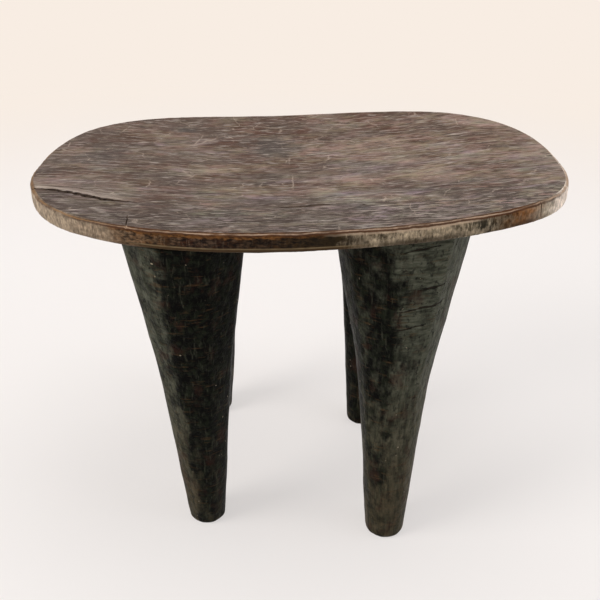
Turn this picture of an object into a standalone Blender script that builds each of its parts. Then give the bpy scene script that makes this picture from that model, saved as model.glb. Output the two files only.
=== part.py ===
"""A low carved wooden stool: a dished, rounded-oblong seat on four hewn, tapered legs.

Each leg ends in a stub tenon that stands in a blind mortise under the seat, so nothing shows on top.
Lengths are in metres. +X runs along the seat to the right, +Y to the back and +Z up. The origin is on the
floor, under the middle of the seat.
"""

import math
from collections import namedtuple

import bmesh
import bpy
from mathutils import Vector

# Seat slab
SEAT_LENGTH = 0.494          # tip to tip
SEAT_DEPTH = 0.3277          # front rim to rear rim
SEAT_HEIGHT = 0.3556         # top of the rim above the floor, midway along the seat
SEAT_RISE = 0.0193           # how much higher the rim stands at the right tip than at the left
RIM_SWELL = 0.0037           # how far the long rims rise between the worn middle and each tip
RIM_THICKNESS = 0.0157       # edge of the slab, from top to bottom
DISH_DEPTH = 0.012           # hollow of the top, below the rim, at the middle
BELLY_DEPTH = 0.012          # swell of the underside, below the rim, at the middle
TOP_ARRIS = 0.0030           # rounding of the rim's upper edge
BOTTOM_ARRIS = 0.0020        # rounding of the rim's lower edge

# How full the outline is: 2 for all of these is an ellipse, and more is squarer
EDGE_FULLNESS = 3.34         # along the front and the rear
FRONT_LEFT_FULLNESS = 1.53   # round each corner to the tip
FRONT_RIGHT_FULLNESS = 2.72
REAR_LEFT_FULLNESS = 4.50
REAR_RIGHT_FULLNESS = 2.17

# What the four legs share
LEG_SETBACK = 0.0084         # from the front or rear rim in to the leg's head
HEAD_FLATTENING = 0.012      # how much less a head measures from front to back than along the seat
KNEE_BLEND = 0.001           # fullness left where the flared head runs out into the shank
FOOT_ROUND = 0.004           # rounding round the sole
FACETS = 8                   # broad flats that the hewing left round a leg
FACET_STRENGTH = 0.6         # 0 is a round leg, 1 has flat sides and sharp ridges

# Joints between legs and seat
FIT_GAP = 0.0003             # clearance between a leg and the seat, all over
TENON_DIAMETER = 0.036
TENON_CHAMFER = 0.0015
MORTISE_COVER = 0.006        # wood left between a mortise and the hollow of the seat

# Number of points round each piece, and of steps along it
SEAT_POINTS = 64
SEAT_STEPS = 6
LEG_POINTS = 4 * FACETS
LEG_STEPS = 12
ARRIS_STEPS = 3

# The legs differ a little, as hand-hewn ones do, and each has the same eight sizes
# Front left leg
FRONT_LEFT_OVERHANG = 0.0972 # seat that reaches past the leg's head, along the length
FRONT_LEFT_HEAD = 0.1113     # width where the leg meets the seat
FRONT_LEFT_FLARE = 0.1280    # from there down to the knee
FRONT_LEFT_KNEE = 0.0716     # diameter where the flare runs out
FRONT_LEFT_FOOT = 0.0380     # diameter at the sole
FRONT_LEFT_LEAN_X = 0.0043   # how far the foot stands in from the head, along the seat
FRONT_LEFT_LEAN_Y = 0.0218   # the same, from front to back
FRONT_LEFT_TURN = 27.0       # how far its flats are swung round, in degrees

# Front right leg
FRONT_RIGHT_OVERHANG = 0.0938
FRONT_RIGHT_HEAD = 0.1206
FRONT_RIGHT_FLARE = 0.1550
FRONT_RIGHT_KNEE = 0.0658
FRONT_RIGHT_FOOT = 0.0396
FRONT_RIGHT_LEAN_X = -0.0012
FRONT_RIGHT_LEAN_Y = -0.0060
FRONT_RIGHT_TURN = -10.0

# Rear left leg
REAR_LEFT_OVERHANG = 0.0969
REAR_LEFT_HEAD = 0.1114
REAR_LEFT_FLARE = 0.1435
REAR_LEFT_KNEE = 0.0656
REAR_LEFT_FOOT = 0.0374
REAR_LEFT_LEAN_X = 0.0017
REAR_LEFT_LEAN_Y = -0.0020
REAR_LEFT_TURN = 14.0

# Rear right leg
REAR_RIGHT_OVERHANG = 0.0982
REAR_RIGHT_HEAD = 0.1128
REAR_RIGHT_FLARE = 0.1440
REAR_RIGHT_KNEE = 0.0658
REAR_RIGHT_FOOT = 0.0379
REAR_RIGHT_LEAN_X = 0.0053
REAR_RIGHT_LEAN_Y = 0.0225
REAR_RIGHT_TURN = 20.0

# side and face are the corner that a leg stands under, by the signs of X and Y
Leg = namedtuple("Leg", "name side face overhang head flare knee foot lean_x lean_y turn colour")
LEGS = (
    Leg("front_left", -1, -1, FRONT_LEFT_OVERHANG, FRONT_LEFT_HEAD, FRONT_LEFT_FLARE, FRONT_LEFT_KNEE,
        FRONT_LEFT_FOOT, FRONT_LEFT_LEAN_X, FRONT_LEFT_LEAN_Y, FRONT_LEFT_TURN, "#34322B"),
    Leg("front_right", 1, -1, FRONT_RIGHT_OVERHANG, FRONT_RIGHT_HEAD, FRONT_RIGHT_FLARE, FRONT_RIGHT_KNEE,
        FRONT_RIGHT_FOOT, FRONT_RIGHT_LEAN_X, FRONT_RIGHT_LEAN_Y, FRONT_RIGHT_TURN, "#3C392E"),
    Leg("rear_left", -1, 1, REAR_LEFT_OVERHANG, REAR_LEFT_HEAD, REAR_LEFT_FLARE, REAR_LEFT_KNEE,
        REAR_LEFT_FOOT, REAR_LEFT_LEAN_X, REAR_LEFT_LEAN_Y, REAR_LEFT_TURN, "#2C2A24"),
    Leg("rear_right", 1, 1, REAR_RIGHT_OVERHANG, REAR_RIGHT_HEAD, REAR_RIGHT_FLARE, REAR_RIGHT_KNEE,
        REAR_RIGHT_FOOT, REAR_RIGHT_LEAN_X, REAR_RIGHT_LEAN_Y, REAR_RIGHT_TURN, "#2B2A25"),
)

SEAT_COLOUR = "#76685F"      # weathered grey-brown top
SEAT_ROUGHNESS = 0.60
LEG_ROUGHNESS = 0.42         # handled, smoke-dark patina


def clear_scene():
    """Remove whatever objects the open file holds."""
    for old in list(bpy.data.objects):
        bpy.data.objects.remove(old, do_unlink=True)


def linear_colour(hex_code):
    """Turn an sRGB hex colour into the linear RGBA that a shader socket takes."""
    channels = [int(hex_code[i:i + 2], 16) / 255 for i in (1, 3, 5)]
    linear = [c / 12.92 if c <= 0.04045 else ((c + 0.055) / 1.055) ** 2.4 for c in channels]
    return (*linear, 1.0)


def wood(name, hex_code, roughness):
    """A plain wood finish."""
    finish = bpy.data.materials.new(name)
    finish.use_nodes = True
    shader = finish.node_tree.nodes["Principled BSDF"]
    shader.inputs["Base Color"].default_value = linear_colour(hex_code)
    shader.inputs["Roughness"].default_value = roughness
    shader.inputs["Metallic"].default_value = 0.0
    finish.diffuse_color = linear_colour(hex_code)
    return finish


def turns(count, start=0.0):
    """Evenly spaced angles once round, counter-clockwise from above."""
    return [start + 2 * math.pi * i / count for i in range(count)]


def corner_fullness(x, y):
    """How full the outline is round the corner on whose side a point lies."""
    if y < 0:
        return FRONT_LEFT_FULLNESS if x < 0 else FRONT_RIGHT_FULLNESS
    return REAR_LEFT_FULLNESS if x < 0 else REAR_RIGHT_FULLNESS


def seat_reach(x, y, inset):
    """How far out a point lies: 0 at the middle of the seat, 1 on the outline drawn in by inset."""
    along = abs(x) / (SEAT_LENGTH / 2 - inset)
    across = abs(y) / (SEAT_DEPTH / 2 - inset)
    round_reach = math.hypot(along, across)
    if round_reach == 0:
        return 0.0
    corner = corner_fullness(x, y)
    bulk = (along / round_reach) ** EDGE_FULLNESS + (across / round_reach) ** corner
    return round_reach * bulk ** (2 / (EDGE_FULLNESS + corner))


def rim_height(x):
    """Top of the rim above the floor."""
    out = x / (SEAT_LENGTH / 2)
    swell = 4 * (out ** 2 - out ** 4)
    return SEAT_HEIGHT + SEAT_RISE / 2 * out + RIM_SWELL * swell


def top_height(x, y):
    """The dished top of the seat."""
    reach = min(seat_reach(x, y, TOP_ARRIS), 1.0)
    return rim_height(x) - DISH_DEPTH * (1 - reach ** 2)


def underside_height(x, y):
    """The swelling underside of the seat."""
    reach = min(seat_reach(x, y, BOTTOM_ARRIS), 1.0)
    return rim_height(x) - RIM_THICKNESS - BELLY_DEPTH * (1 - reach ** 2)


def outline_point(angle, inset, share=1.0):
    """A point on the seat's outline, drawn in by inset, or a share of the way out to it."""
    x = (SEAT_LENGTH / 2 - inset) * math.cos(angle)
    y = (SEAT_DEPTH / 2 - inset) * math.sin(angle)
    scale = share / seat_reach(x, y, inset)
    return x * scale, y * scale


def seat_rings():
    """Rings from the middle of the underside, out over the rim and in to the middle of the top."""
    angles = turns(SEAT_POINTS)
    shares = [step / SEAT_STEPS for step in range(1, SEAT_STEPS + 1)]
    rings = []
    for share in shares:
        flat = [outline_point(angle, BOTTOM_ARRIS, share) for angle in angles]
        rings.append([Vector((x, y, underside_height(x, y))) for x, y in flat])
    for step in range(1, ARRIS_STEPS + 1):
        bend = math.pi / 2 * step / ARRIS_STEPS
        flat = [outline_point(angle, BOTTOM_ARRIS * (1 - math.sin(bend))) for angle in angles]
        lift = BOTTOM_ARRIS * (1 - math.cos(bend)) - RIM_THICKNESS
        rings.append([Vector((x, y, rim_height(x) + lift)) for x, y in flat])
    for step in range(ARRIS_STEPS):
        bend = math.pi / 2 * step / ARRIS_STEPS
        flat = [outline_point(angle, TOP_ARRIS * (1 - math.cos(bend))) for angle in angles]
        drop = TOP_ARRIS * (1 - math.sin(bend))
        rings.append([Vector((x, y, rim_height(x) - drop)) for x, y in flat])
    for share in reversed(shares):
        flat = [outline_point(angle, TOP_ARRIS, share) for angle in angles]
        rings.append([Vector((x, y, top_height(x, y))) for x, y in flat])
    return rings


def head_depth(leg):
    """Size of a leg's head from front to back."""
    return leg.head - HEAD_FLATTENING


def head_centre(leg):
    """The middle of a leg's head, on plan."""
    x = SEAT_LENGTH / 2 - leg.overhang - leg.head / 2
    y = SEAT_DEPTH / 2 - LEG_SETBACK - head_depth(leg) / 2
    return leg.side * x, leg.face * y


def foot_centre(leg):
    """The middle of a leg's sole, on plan."""
    x, y = head_centre(leg)
    return x - leg.side * leg.lean_x, y - leg.face * leg.lean_y


def shoulder_height(leg):
    """Height at which the middle of a leg meets the seat."""
    return underside_height(*head_centre(leg)) - FIT_GAP


def leg_radius(leg, height):
    """Half the leg's width at a height: a slim shank that runs up into a wider flare."""
    knee_height = shoulder_height(leg) - leg.flare
    shank_slope = (leg.knee - leg.foot) / 2 / knee_height
    flare_slope = (leg.head - leg.knee) / 2 / leg.flare
    shank = leg.foot / 2 + shank_slope * height
    flare = leg.knee / 2 + flare_slope * (height - knee_height)
    return (shank + flare) / 2 + math.hypot((shank - flare) / 2, KNEE_BLEND)


def facet(angle):
    """Share of the radius that the flats leave at an angle counted from a ridge."""
    width = 2 * math.pi / FACETS
    from_middle = angle % width - width / 2
    flat = math.cos(width / 2) / math.cos(from_middle)
    return 1 - FACET_STRENGTH * (1 - flat)


def leg_ring(leg, height, shrink=0.0):
    """One ring of a leg at a height counted along its middle, drawn in by shrink."""
    share = height / shoulder_height(leg)
    middle = Vector(foot_centre(leg)).lerp(Vector(head_centre(leg)), share)
    radius = leg_radius(leg, height) - shrink
    squash = 1 - share * (1 - head_depth(leg) / leg.head)
    turn = math.radians(leg.turn)
    ring = []
    for angle in turns(LEG_POINTS, turn):
        out = radius * facet(angle - turn)
        x = middle.x + out * math.cos(angle)
        y = middle.y + out * squash * math.sin(angle)
        ring.append(Vector((x, y, share * (underside_height(x, y) - FIT_GAP))))
    return ring


def tenon_ring(leg, radius, height=None):
    """A ring round a leg's tenon, at a height, or on the leg's shoulder."""
    centre_x, centre_y = head_centre(leg)
    ring = []
    for angle in turns(LEG_POINTS, math.radians(leg.turn)):
        x = centre_x + radius * math.cos(angle)
        y = centre_y + radius * math.sin(angle)
        z = underside_height(x, y) - FIT_GAP if height is None else height
        ring.append(Vector((x, y, z)))
    return ring


def mortise_end(leg):
    """Height of the closed end of a leg's mortise."""
    return top_height(*head_centre(leg)) - MORTISE_COVER


def leg_rings(leg):
    """Rings from the sole, up the leg, in over the shoulder and up the tenon."""
    rings = []
    for step in range(ARRIS_STEPS + 1):
        bend = math.pi / 2 * step / ARRIS_STEPS
        height = FOOT_ROUND * (1 - math.cos(bend))
        rings.append(leg_ring(leg, height, FOOT_ROUND * (1 - math.sin(bend))))
    shank_rise = (shoulder_height(leg) - FOOT_ROUND) / LEG_STEPS
    for step in range(1, LEG_STEPS + 1):
        height = FOOT_ROUND + shank_rise * step
        rings.append(leg_ring(leg, height))
    root = tenon_ring(leg, TENON_DIAMETER / 2)
    rings.append([outer.lerp(inner, 0.5) for outer, inner in zip(rings[-1], root)])
    for point in rings[-1]:
        point.z = underside_height(point.x, point.y) - FIT_GAP
    rings.append(root)
    end = mortise_end(leg) - FIT_GAP
    rings.append(tenon_ring(leg, TENON_DIAMETER / 2, end - TENON_CHAMFER))
    rings.append(tenon_ring(leg, TENON_DIAMETER / 2 - TENON_CHAMFER, end))
    return rings


def mortise_rings(leg):
    """A cutter for a leg's mortise, from well under the seat up to the mortise's end."""
    radius = TENON_DIAMETER / 2 + FIT_GAP
    below = underside_height(*head_centre(leg)) - RIM_THICKNESS
    return [tenon_ring(leg, radius, below), tenon_ring(leg, radius, mortise_end(leg))]


def loft(name, rings, origin):
    """Skin a stack of rings from the lowest up, close both ends, and place the piece at its origin."""
    shape = bmesh.new()
    stack = [[shape.verts.new(point - origin) for point in ring] for ring in rings]
    count = len(stack[0])
    for lower, upper in zip(stack, stack[1:]):
        for i in range(count):
            j = (i + 1) % count
            shape.faces.new((lower[i], lower[j], upper[j], upper[i]))
    for ring in (stack[0][::-1], stack[-1]):
        middle = shape.verts.new(sum((vert.co for vert in ring), Vector()) / count)
        for i in range(count):
            shape.faces.new((ring[i], ring[(i + 1) % count], middle))
    mesh = bpy.data.meshes.new(name)
    shape.to_mesh(mesh)
    shape.free()
    mesh.shade_smooth()
    mesh.set_sharp_from_angle(angle=math.radians(40))
    piece = bpy.data.objects.new(name, mesh)
    piece.location = origin
    bpy.context.scene.collection.objects.link(piece)
    return piece


def cut_mortise(seat, leg):
    """Cut the blind mortise that takes a leg's tenon."""
    centre_x, centre_y = head_centre(leg)
    cutter = loft("mortise_" + leg.name, mortise_rings(leg), Vector((centre_x, centre_y, SEAT_HEIGHT)))
    cutter.hide_render = True
    cutter.display_type = "WIRE"
    cut = seat.modifiers.new("mortise_" + leg.name, "BOOLEAN")
    cut.operation = "DIFFERENCE"
    cut.solver = "EXACT"
    cut.object = cutter
    return cutter


def build():
    """Model the stool: the seat, its mortises and the four legs, all under one empty."""
    clear_scene()
    stool = bpy.data.objects.new("stool", None)
    bpy.context.scene.collection.objects.link(stool)
    seat = loft("seat", seat_rings(), Vector((0, 0, SEAT_HEIGHT)))
    seat.data.materials.append(wood("seat_wood", SEAT_COLOUR, SEAT_ROUGHNESS))
    seat.parent = stool
    for leg in LEGS:
        cut_mortise(seat, leg).parent = stool
        piece = loft("leg_" + leg.name, leg_rings(leg), Vector((*foot_centre(leg), 0)))
        piece.data.materials.append(wood(piece.name + "_wood", leg.colour, LEG_ROUGHNESS))
        piece.parent = stool


build()
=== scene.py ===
# %% [markdown]
# # A carved stool on four tapering legs
# The real stool is hewn with an adze from one short log: a shallow dished seat, and four cone-shaped legs
# that grow out of its underside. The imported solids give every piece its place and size. This script reads
# the form of each solid, builds a finer mesh over it with the tool marks and drying cracks in the geometry,
# and then gives the wood its grain, patina and wear.

# %% Load the solids
import math
from functools import partial

import bpy
import numpy as np
from mathutils import Matrix, Vector, noise
from mathutils.bvhtree import BVHTree


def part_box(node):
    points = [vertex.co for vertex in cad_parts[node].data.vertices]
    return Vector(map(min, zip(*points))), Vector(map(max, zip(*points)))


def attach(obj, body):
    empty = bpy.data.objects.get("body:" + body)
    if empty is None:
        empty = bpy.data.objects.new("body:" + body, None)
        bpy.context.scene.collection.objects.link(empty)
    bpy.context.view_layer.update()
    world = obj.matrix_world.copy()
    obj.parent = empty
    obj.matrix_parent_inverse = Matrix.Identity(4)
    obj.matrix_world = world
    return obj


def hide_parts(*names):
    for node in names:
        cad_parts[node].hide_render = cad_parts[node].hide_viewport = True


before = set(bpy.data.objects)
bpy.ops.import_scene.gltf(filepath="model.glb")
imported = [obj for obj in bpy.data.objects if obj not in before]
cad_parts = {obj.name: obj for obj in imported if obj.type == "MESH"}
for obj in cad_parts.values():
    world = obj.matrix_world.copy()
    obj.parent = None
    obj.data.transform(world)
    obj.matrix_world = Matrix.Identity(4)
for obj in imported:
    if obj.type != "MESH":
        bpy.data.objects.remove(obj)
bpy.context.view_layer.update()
MM = 0.001
print("solids:", ", ".join(sorted(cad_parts)))

# %% [markdown]
# ## Camera
# The stool is seen from a little above, almost straight on to its long side, through a 50 mm lens. The
# camera is placed by the direction that it looks along, so its pitch, yaw and roll can be changed one at a
# time.

# %% Camera
CAMERA_LENS = 50.0
CAMERA_SENSOR = 36.0
CAMERA_DISTANCE = 0.8589
CAMERA_PITCH = 0.497
CAMERA_YAW = -0.025
CAMERA_ROLL = 0.009
AIM_ASIDE = 0.0077
AIM_HEIGHT = 0.2091


def put(name, data):
    piece = bpy.data.objects.new(name, data)
    bpy.context.scene.collection.objects.link(piece)
    return piece


camera = put("camera", bpy.data.cameras.new("camera"))
bpy.context.scene.camera = camera
camera.data.lens = CAMERA_LENS
camera.data.sensor_width = CAMERA_SENSOR
level = math.cos(CAMERA_PITCH)
back = Vector((math.sin(CAMERA_YAW) * level, -math.cos(CAMERA_YAW) * level, math.sin(CAMERA_PITCH)))
right = Vector((math.cos(CAMERA_YAW), math.sin(CAMERA_YAW), 0.0))
turned = Matrix.Rotation(CAMERA_ROLL, 3, back)
right_turned = turned @ right
axes = Matrix((right_turned, back.cross(right_turned), back)).transposed()
camera.matrix_world = axes.to_4x4()
camera.location = Vector((0.0, 0.0, AIM_HEIGHT)) + right * AIM_ASIDE + back * CAMERA_DISTANCE
print("camera stands at", [round(part, 3) for part in camera.location])

# %% [markdown]
# ## Reading the seat
# Numbers copied by hand would drift from the solid, so rays are shot at it instead: sideways for the
# outline, down for the rim and the dish, and up for the underside. The outline is kept as a short sum of
# waves round the board, which smooths the solid's straight facets into one curve.

# %% Seat outline
def solid_of(name):
    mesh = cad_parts[name].data
    points = [vertex.co.copy() for vertex in mesh.vertices]
    faces = [tuple(face.vertices) for face in mesh.polygons]
    return BVHTree.FromPolygons(points, faces), np.array(points)


OUTLINE_RAYS = 256
OUTLINE_WAVES = 22
RAY_START = 1.5
LEVEL_ROOM = 0.1 * MM

seat_solid, seat_points = solid_of("seat")
seat_low, seat_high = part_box("seat")
half_length = seat_high.x
half_depth = seat_high.y
tips = []
for end in (seat_low.x, seat_high.x):
    at_end = np.abs(seat_points[:, 0] - end) < LEVEL_ROOM
    tips.append(seat_points[at_end][:, 2].mean())
ray_turns = np.arange(OUTLINE_RAYS) * 2.0 * math.pi / OUTLINE_RAYS
reaches = []
for turn in ray_turns:
    out = Vector((half_length * math.cos(turn), half_depth * math.sin(turn), 0.0))
    start = out * RAY_START
    start.z = np.interp(out.x, (seat_low.x, seat_high.x), tips)
    hit = seat_solid.ray_cast(start, -out.normalized())[0]
    reaches.append(hit.to_2d().length / out.length)
waves = np.fft.rfft(reaches)[:OUTLINE_WAVES] / OUTLINE_RAYS
waves[1:] *= 2.0


def outline_at(turn):
    return np.real(np.exp(1j * np.multiply.outer(turn, np.arange(OUTLINE_WAVES))) @ waves)


def plan(turn, reach, inset):
    out = reach * outline_at(turn)
    return out * (half_length - inset) * np.cos(turn), out * (half_depth - inset) * np.sin(turn)


print("tips of the seat stand at", [round(tip / MM, 1) for tip in tips], "mm")

# %% [markdown]
# ## Dish and belly
# The long rims sag a little midway and one tip is the higher, so the rim's height is a smooth curve along
# the stool. The hollow on top and the swell below are bowls that start from that curve.

# %% Heights of the seat
RAY_HEIGHT = 0.5
RIM_READING = 0.97
RIM_CURVE = 4
UP = Vector((0.0, 0.0, 1.0))


def surface_height(x, y, direction):
    start = Vector((x, y, RAY_HEIGHT - RAY_HEIGHT * direction.z))
    return seat_solid.ray_cast(start, direction)[0].z


edge_x, edge_y = plan(ray_turns, RIM_READING, 0.0)
edge_share = 1.0 - RIM_READING ** 2


def read_bowl(direction):
    edge = [surface_height(x, y, direction) for x, y in zip(edge_x, edge_y)]
    curve = np.polyfit(edge_x, edge, RIM_CURVE)
    depth = (np.polyval(curve, 0.0) - surface_height(0.0, 0.0, direction)) / (1.0 - edge_share)

    def height(x, reach):
        return np.polyval(curve, x) + depth * (edge_share - 1.0 + reach ** 2)

    return height, depth, np.array(edge)


top_height, dish, above = read_bowl(-UP)
underside_height, belly, below = read_bowl(UP)
print(f"dish {dish / MM:.1f} mm, belly {belly / MM:.1f} mm deep")

# %% [markdown]
# ## Seat mesh
# A square grid bent into a disc covers the top and the underside without the pinched centre that rings
# would leave. Between the two, rings run down the rim: a worn upper arris, the upright side, and a smaller
# rounding below.

# %% Seat grid and rim
SEAT_COLUMNS = 160
SEAT_ROWS = 260
TOP_ARRIS = 3.0 * MM
LOW_ARRIS = 2.0 * MM
ARRIS_STEPS = 4
SIDE_STEPS = 6

columns = np.linspace(-1.0, 1.0, SEAT_COLUMNS + 1)
rows = np.linspace(-1.0, 1.0, SEAT_ROWS + 1)
across, along = np.meshgrid(rows, columns)
disc_x = along * np.sqrt(1.0 - across ** 2 / 2.0)
disc_y = across * np.sqrt(1.0 - along ** 2 / 2.0)
disc_turn = np.arctan2(disc_y, disc_x)
disc_reach = np.hypot(disc_x, disc_y)
grid_index = np.arange(disc_x.size).reshape(disc_x.shape)
border = np.concatenate([grid_index[:-1, 0], grid_index[-1, :-1],
                         grid_index[:0:-1, -1], grid_index[0, :0:-1]])
border_turn = disc_turn.ravel()[border]


def rim_ring(inset, drop):
    x, y = plan(border_turn, 1.0, inset)
    high = top_height(x, 1.0)
    low = underside_height(x, 1.0)
    return np.column_stack([x, y, high + (low - high) * drop])


def grid_points(height, inset):
    x, y = plan(disc_turn, disc_reach, inset)
    return np.column_stack([x.ravel(), y.ravel(), height(x, disc_reach).ravel()])


rim_depth = float(np.mean(above - below))
bends = np.linspace(0.0, math.pi / 2.0, ARRIS_STEPS + 1)[1:]
profile = [(TOP_ARRIS * (1.0 - math.sin(b)), TOP_ARRIS * (1.0 - math.cos(b)) / rim_depth) for b in bends]
sides = np.linspace(TOP_ARRIS / rim_depth, 1.0 - LOW_ARRIS / rim_depth, SIDE_STEPS + 1)[1:]
profile += [(0.0, drop) for drop in sides]
profile += [(LOW_ARRIS * (1.0 - math.cos(b)), 1.0 - LOW_ARRIS * (1.0 - math.sin(b)) / rim_depth)
            for b in bends[:-1]]

top_points = grid_points(top_height, TOP_ARRIS)
low_points = grid_points(underside_height, LOW_ARRIS)
ring_points = [rim_ring(inset, drop) for inset, drop in profile]
seat_spots = np.concatenate([top_points] + ring_points + [low_points])
low_start = len(seat_spots) - len(low_points)
rim_start = len(top_points)

quads = np.column_stack([grid_index[:-1, :-1].ravel(), grid_index[1:, :-1].ravel(),
                         grid_index[1:, 1:].ravel(), grid_index[:-1, 1:].ravel()])
rings = [border] + [rim_start + i * len(border) + np.arange(len(border)) for i in range(len(profile))]
rings.append(low_start + border)
bands = [np.column_stack([upper, lower, np.roll(lower, -1), np.roll(upper, -1)])
         for upper, lower in zip(rings[:-1], rings[1:])]
seat_faces = np.concatenate([quads] + bands + [quads[:, ::-1] + low_start])
seat_zone = np.repeat([0, 1, 2], [len(quads), len(border) * len(bands), len(quads)])
print(f"seat: {len(seat_spots)} points, {len(seat_faces)} faces, rim {rim_depth / MM:.1f} mm deep")

# %% [markdown]
# ## Values kept on the rim
# Each point keeps how many millimetres it lies past the bend of the upper arris, and how far down the rim
# it is, so the materials can follow the edge without a picture map.

# %% Edge values
ARRIS_WEAR_BEND = math.radians(35.0)

edge_gap = (1.0 - disc_reach.ravel()) * np.hypot(top_points[:, 0], top_points[:, 1])
top_past = -edge_gap - TOP_ARRIS * ARRIS_WEAR_BEND
ring_past = [TOP_ARRIS * (b - ARRIS_WEAR_BEND) for b in bends]
ring_past += [ring_past[-1] + drop * rim_depth - TOP_ARRIS for _, drop in profile[ARRIS_STEPS:]]
low_past = np.full(len(low_points), ring_past[-1])
past_arris = np.concatenate([top_past, np.repeat(ring_past, len(border)), low_past])
ring_drops = np.repeat([drop for _, drop in profile], len(border))
drop_share = np.concatenate([np.zeros(len(top_points)), ring_drops, np.ones(len(low_points))])
print(f"rim reaches {ring_past[-1] / MM:.1f} mm past the arris")

# %% [markdown]
# ## Tool marks
# An adze leaves overlapping shallow scoops, and use raises the hard grain between them. Scoops are the
# squared distance to the nearest of many scattered points, which gives hollows that meet in low ridges.
# Raised grain is smooth noise drawn out along the log. Both move the points themselves, so the marks show
# from every side.

# %% Carving helpers
def spread_out(points, size, shift):
    return (points / (np.array(size) * MM) + shift).tolist()


def scoops(points, size, shift=0.0):
    return np.array([noise.voronoi(place)[0][0] for place in spread_out(points, size, shift)]) ** 2


def ripples(points, size, shift=0.0):
    return np.array([noise.noise(place) for place in spread_out(points, size, shift)])


def mesh_from(name, points, faces):
    mesh = bpy.data.meshes.new(name)
    mesh.from_pydata(points.tolist(), [], faces)
    mesh.shade_smooth()
    return mesh


def carve(mesh, heights):
    normals = np.array([vertex.normal for vertex in mesh.vertices])
    points = np.array([vertex.co for vertex in mesh.vertices]) + normals * heights[:, None]
    mesh.vertices.foreach_set("co", points.ravel())
    mesh.update()


def keep_values(mesh, name, values):
    attribute = mesh.attributes.new(name, "FLOAT", "POINT")
    attribute.data.foreach_set("value", values.astype(np.float32))


print("scoops, ripples and carving ready")

# %% [markdown]
# ## Carving the seat
# The top has long shallow scoops under raised grain, the rim short upright ripples, and the underside
# wider scoops. Beside the old split the wood has lifted into a lip, steep towards the split and falling
# away slowly behind it.

# %% Carve the seat
CRACK_PATH = [(-244, -40.5), (-227.5, -47), (-212, -52), (-196.5, -57.5),
              (-180.5, -66.5), (-165, -73.5), (-151, -75.5), (-132, -77.5)]
LIP_RISE = 2.0 * MM
LIP_WIDTH = 7.0 * MM
LIP_FRONT = 0.9 * MM
LIP_FADE = 30.0 * MM

spot_index = np.arange(len(seat_spots))
on_top = np.where(spot_index < rim_start, 1.0, 0.0)
on_low = np.where(spot_index < low_start, 0.0, 1.0)
on_rim = 1.0 - on_top - on_low
flat_spots = seat_spots * np.array([1.0, 1.0, 0.0])
# Each row: where it is, the mark, its points, its size along, across and through in mm, its depth in mm.
SEAT_MARKS = [
    (on_top, scoops, flat_spots, (34, 8.5, 9), 0.42),
    (on_top, ripples, flat_spots, (40, 2.6, 9), 0.10),
    (on_top, ripples, flat_spots, (120, 60, 90), 0.50),
    (on_rim, ripples, seat_spots, (3.2, 3.2, 26), 0.25),
    (on_rim, ripples, seat_spots, (38, 38, 50), 0.50),
    (on_low, scoops, flat_spots, (42, 20, 20), 0.90),
]

crack_x, crack_y = np.array(CRACK_PATH).T * MM
crack_line = np.interp(seat_spots[:, 0], crack_x, crack_y)
behind = seat_spots[:, 1] - crack_line
lip_fade = np.clip((crack_x[-1] - seat_spots[:, 0]) / LIP_FADE, 0.0, 1.0)
lip = np.exp(-np.abs(behind) / np.where(behind > 0.0, LIP_WIDTH, LIP_FRONT)) * lip_fade * on_top

marks = np.zeros(len(seat_spots))
for where, mark, points, size, depth in SEAT_MARKS:
    marks += where * depth * mark(points, size)
seat_mesh = mesh_from("seat", seat_spots, seat_faces.tolist())
carve(seat_mesh, marks * MM + lip * LIP_RISE)
keep_values(seat_mesh, "past_arris", past_arris / MM)
keep_values(seat_mesh, "drop", drop_share)
keep_values(seat_mesh, "lip", lip)
seat_mesh.polygons.foreach_set("material_index", seat_zone.astype(np.int32))
seat = put("seat_board", seat_mesh)
print("deepest tool mark", round(float(np.ptp(marks)), 2), "mm")

# %% [markdown]
# ## Reading the legs
# Each leg is a cone with eight soft flats, wider at the seat. Rays from its axis give the solid's radius
# at every height and direction. The readings are stretched to the sole and the shoulder, smoothed round
# the leg, and rounded off towards the foot, where the flats have worn away.

# %% Read the legs
LEG_NAMES = ("leg_front_left", "leg_front_right", "leg_rear_left", "leg_rear_right")
LEG_AROUND = 144
LEG_ROWS = 220
LEG_READINGS = 40
LOWEST_READING = 0.02
HIGHEST_READING = 0.96
LEG_WAVES = 20
FLATS = 8
FOOT_FLATS = 0.35
HEAD_FLATS = 0.95
FOOT_TAPER = 0.8
SHOULDER_REACH = 0.97
SHOULDER_LIFT = 0.5 * MM
HEAD_READING = 45.0 * MM
NECK_REACH = 1.1
TENON_CHAMFER = 1.5 * MM

leg_turns = np.arange(LEG_AROUND) * 2.0 * math.pi / LEG_AROUND
leg_shares = np.linspace(0.0, 1.0, LEG_ROWS + 1)
circle = np.column_stack([np.cos(leg_turns), np.sin(leg_turns)])


def smooth_round(radii, wave_count):
    parts = np.fft.rfft(radii, axis=1)
    parts[:, wave_count:] = 0.0
    return np.fft.irfft(parts, LEG_AROUND, axis=1)


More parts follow.
